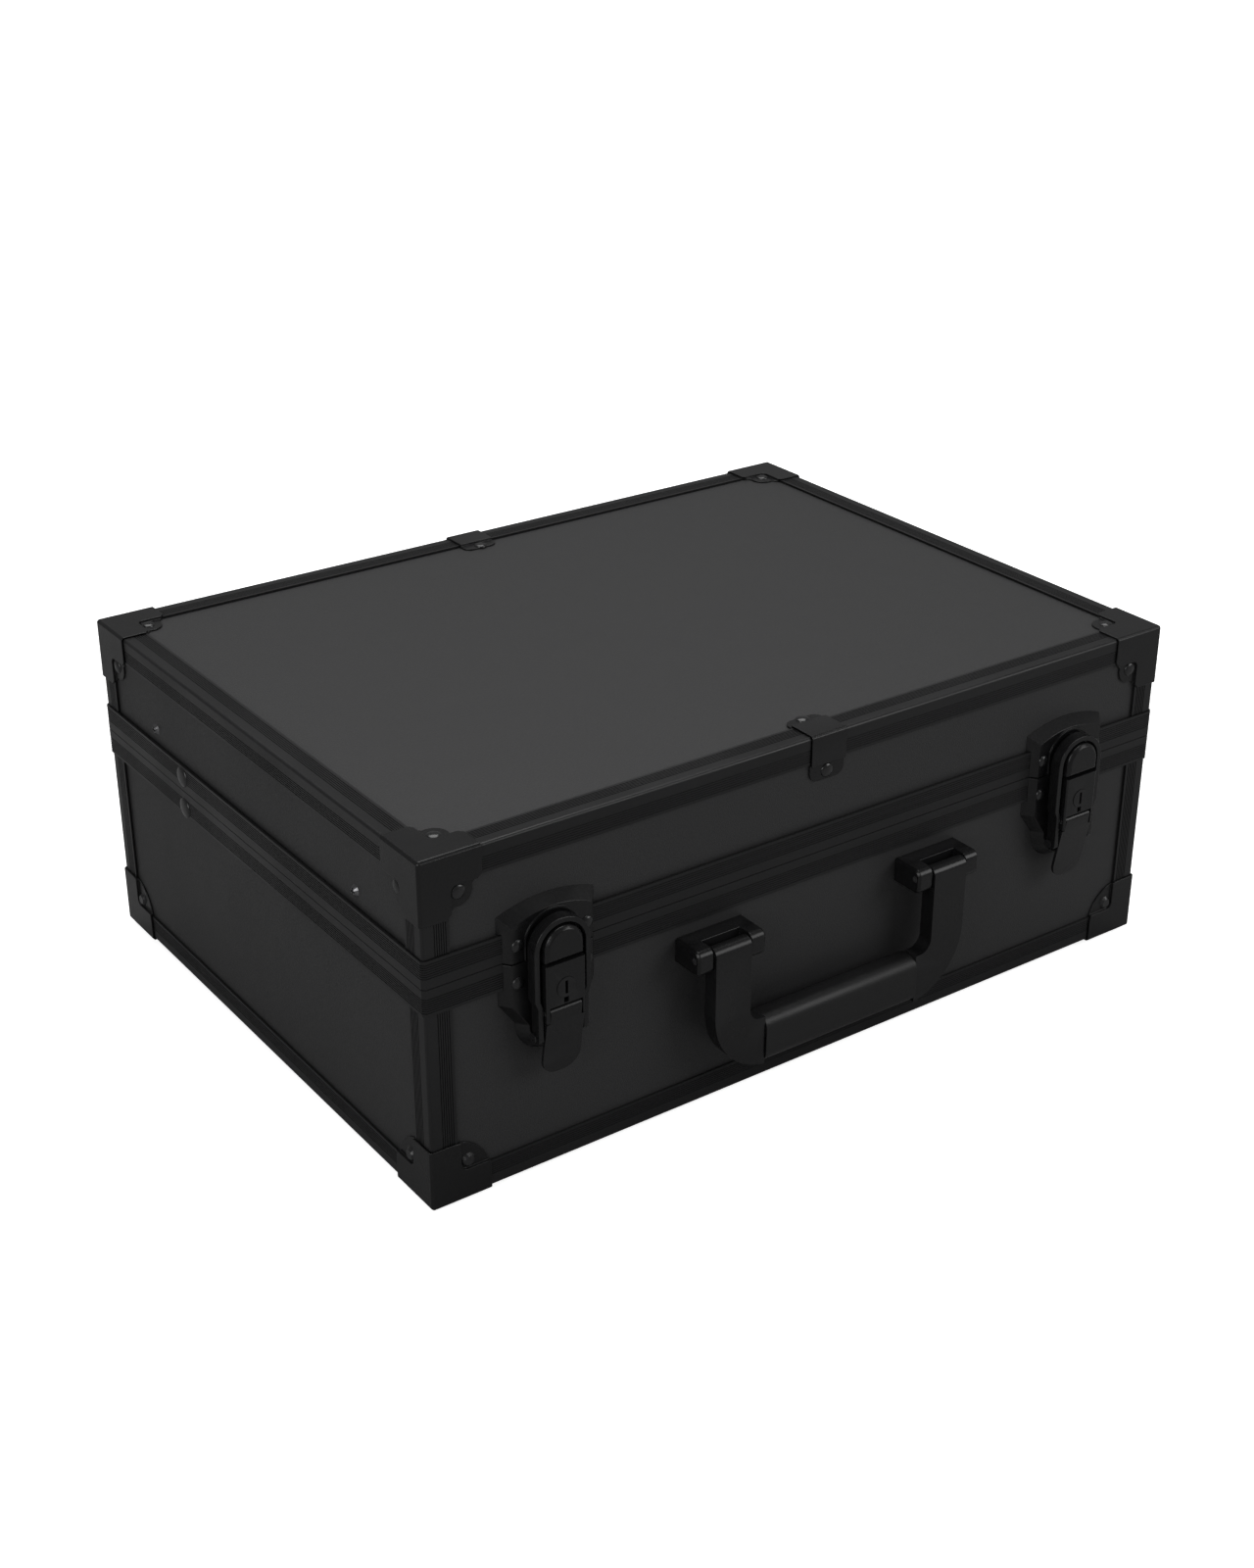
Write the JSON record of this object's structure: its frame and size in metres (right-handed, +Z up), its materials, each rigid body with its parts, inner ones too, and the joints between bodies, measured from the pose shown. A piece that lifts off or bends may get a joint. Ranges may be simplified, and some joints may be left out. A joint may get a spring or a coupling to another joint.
{
  "type": "cosmetic case",
  "caption": "Black aluminium-framed cosmetic case with a hinged lid, draw latches with key locks, folding lid stays and a swinging handle.",
  "frame": {"origin": "centre of the case's bounding box on the plane of its feet", "axes": "+X along the long front towards its right end, +Y from the latches to the hinges, +Z up"},
  "size_m": [0.4522, 0.3548, 0.183],
  "materials": {
    "board": "satin",
    "anodised": "satin",
    "pressed": "satin",
    "hardware": "satin",
    "rivet": "satin",
    "screw": "satin",
    "steel": "satin",
    "lining": "matte",
    "rubber": "matte",
    "grip": "satin"
  },
  "bodies": {
    "base_shell": {"base_front_panel": "board", "base_back_panel": "board", "base_left_panel": "board", "base_right_panel": "board", "base_bottom_panel": "board", "base_edge_trims": "anodised", "base_corner_trims": "anodised", "base_rim": "anodised", "base_corner_caps": "pressed", "base_rivets": "rivet", "base_latch_rivets": "rivet", "base_lining": "lining", "base_hinge_leaves": "hardware", "stay_base_rivets": "rivet", "feet": "rubber", "foot_screws": "screw", "hinge_pins": "steel", "handle_pins": "steel", "latch_lever_pins": "steel", "left_latch_base_plate": "hardware", "left_lock_housing": "hardware", "left_handle_bracket": "hardware", "right_latch_base_plate": "hardware", "right_lock_housing": "hardware", "right_handle_bracket": "hardware"},
    "lid_shell": {"lid_front_panel": "board", "lid_back_panel": "board", "lid_left_panel": "board", "lid_right_panel": "board", "lid_top_panel": "board", "lid_edge_trims": "anodised", "lid_corner_trims": "anodised", "lid_rim": "anodised", "lid_corner_caps": "pressed", "lid_rivets": "rivet", "lid_latch_rivets": "rivet", "lid_lining": "lining", "lid_hinge_leaves": "hardware", "stay_lid_rivets": "rivet", "lid_edge_clamps": "pressed", "lid_panel_screws": "screw", "lid_insert_brackets": "steel", "left_latch_strike": "hardware", "left_latch_catch": "hardware", "right_latch_strike": "hardware", "right_latch_catch": "hardware"},
    "handle_body": {"handle_frame": "hardware", "handle_grip": "grip"},
    "left_latch_lever_body": {"left_latch_lever": "hardware", "left_bail_rivets": "rivet"},
    "left_latch_bail_body": {"left_latch_bail": "hardware"},
    "left_lock_cylinder_body": {"left_lock_cylinder": "hardware"},
    "left_stay_lid_arm_body": {"left_stay_lid_arm": "steel"},
    "left_stay_base_arm_body": {"left_stay_base_arm": "steel"},
    "right_latch_lever_body": {"right_latch_lever": "hardware", "right_bail_rivets": "rivet"},
    "right_latch_bail_body": {"right_latch_bail": "hardware"},
    "right_lock_cylinder_body": {"right_lock_cylinder": "hardware"},
    "right_stay_lid_arm_body": {"right_stay_lid_arm": "steel"},
    "right_stay_base_arm_body": {"right_stay_base_arm": "steel"}
  },
  "joints": [
    {"name": "lid_hinge", "type": "hinge", "parent": "base_shell", "child": "lid_shell", "pos_m": [0, 0.1744, 0.12], "axis": [-1, 0, 0], "range_deg": [0, 95]},
    {"name": "handle_swing", "type": "hinge", "parent": "base_shell", "child": "handle_body", "pos_m": [0, -0.1719, 0.0943], "axis": [-1, 0, 0], "range_deg": [0, 95]},
    {"name": "left_lever_lift", "type": "hinge", "parent": "base_shell", "child": "left_latch_lever_body", "pos_m": [-0.16, -0.1706, 0.0952], "axis": [-1, 0, 0], "range_deg": [0, 110]},
    {"name": "left_bail_swing", "type": "hinge", "parent": "left_latch_lever_body", "child": "left_latch_bail_body", "pos_m": [-0.16, -0.1666, 0.082], "axis": [-1, 0, 0], "range_deg": [-126.5, 0]},
    {"name": "left_key_turn", "type": "hinge", "parent": "base_shell", "child": "left_lock_cylinder_body", "pos_m": [-0.16, -0.1728, 0.107], "axis": [0, -1, 0], "range_deg": [0, 90]},
    {"name": "left_stay_base_fold", "type": "hinge", "parent": "base_shell", "child": "left_stay_base_arm_body", "pos_m": [-0.216, 0.0782, 0.1105], "axis": [-1, 0, 0], "range_deg": [0, 105.87]},
    {"name": "left_stay_lid_fold", "type": "hinge", "parent": "lid_shell", "child": "left_stay_lid_arm_body", "pos_m": [-0.216, 0.0782, 0.128], "axis": [-1, 0, 0], "range_deg": [-106.69, 0]},
    {"name": "right_lever_lift", "type": "hinge", "parent": "base_shell", "child": "right_latch_lever_body", "pos_m": [0.16, -0.1706, 0.0952], "axis": [-1, 0, 0], "range_deg": [0, 110]},
    {"name": "right_bail_swing", "type": "hinge", "parent": "right_latch_lever_body", "child": "right_latch_bail_body", "pos_m": [0.16, -0.1666, 0.082], "axis": [-1, 0, 0], "range_deg": [-126.5, 0]},
    {"name": "right_key_turn", "type": "hinge", "parent": "base_shell", "child": "right_lock_cylinder_body", "pos_m": [0.16, -0.1728, 0.107], "axis": [0, -1, 0], "range_deg": [0, 90]},
    {"name": "right_stay_base_fold", "type": "hinge", "parent": "base_shell", "child": "right_stay_base_arm_body", "pos_m": [0.216, 0.0782, 0.1105], "axis": [-1, 0, 0], "range_deg": [0, 105.87]},
    {"name": "right_stay_lid_fold", "type": "hinge", "parent": "lid_shell", "child": "right_stay_lid_arm_body", "pos_m": [0.216, 0.0782, 0.128], "axis": [-1, 0, 0], "range_deg": [-106.69, 0]}
  ],
  "couplings": [
    {"joint": "left_bail_swing", "follows": "left_lever_lift", "ratio": -1.15},
    {"joint": "left_stay_base_fold", "follows": "lid_hinge", "ratio": 1.1144},
    {"joint": "left_stay_lid_fold", "follows": "lid_hinge", "ratio": -1.1231},
    {"joint": "right_bail_swing", "follows": "right_lever_lift", "ratio": -1.15},
    {"joint": "right_stay_base_fold", "follows": "lid_hinge", "ratio": 1.1144},
    {"joint": "right_stay_lid_fold", "follows": "lid_hinge", "ratio": -1.1231}
  ]
}
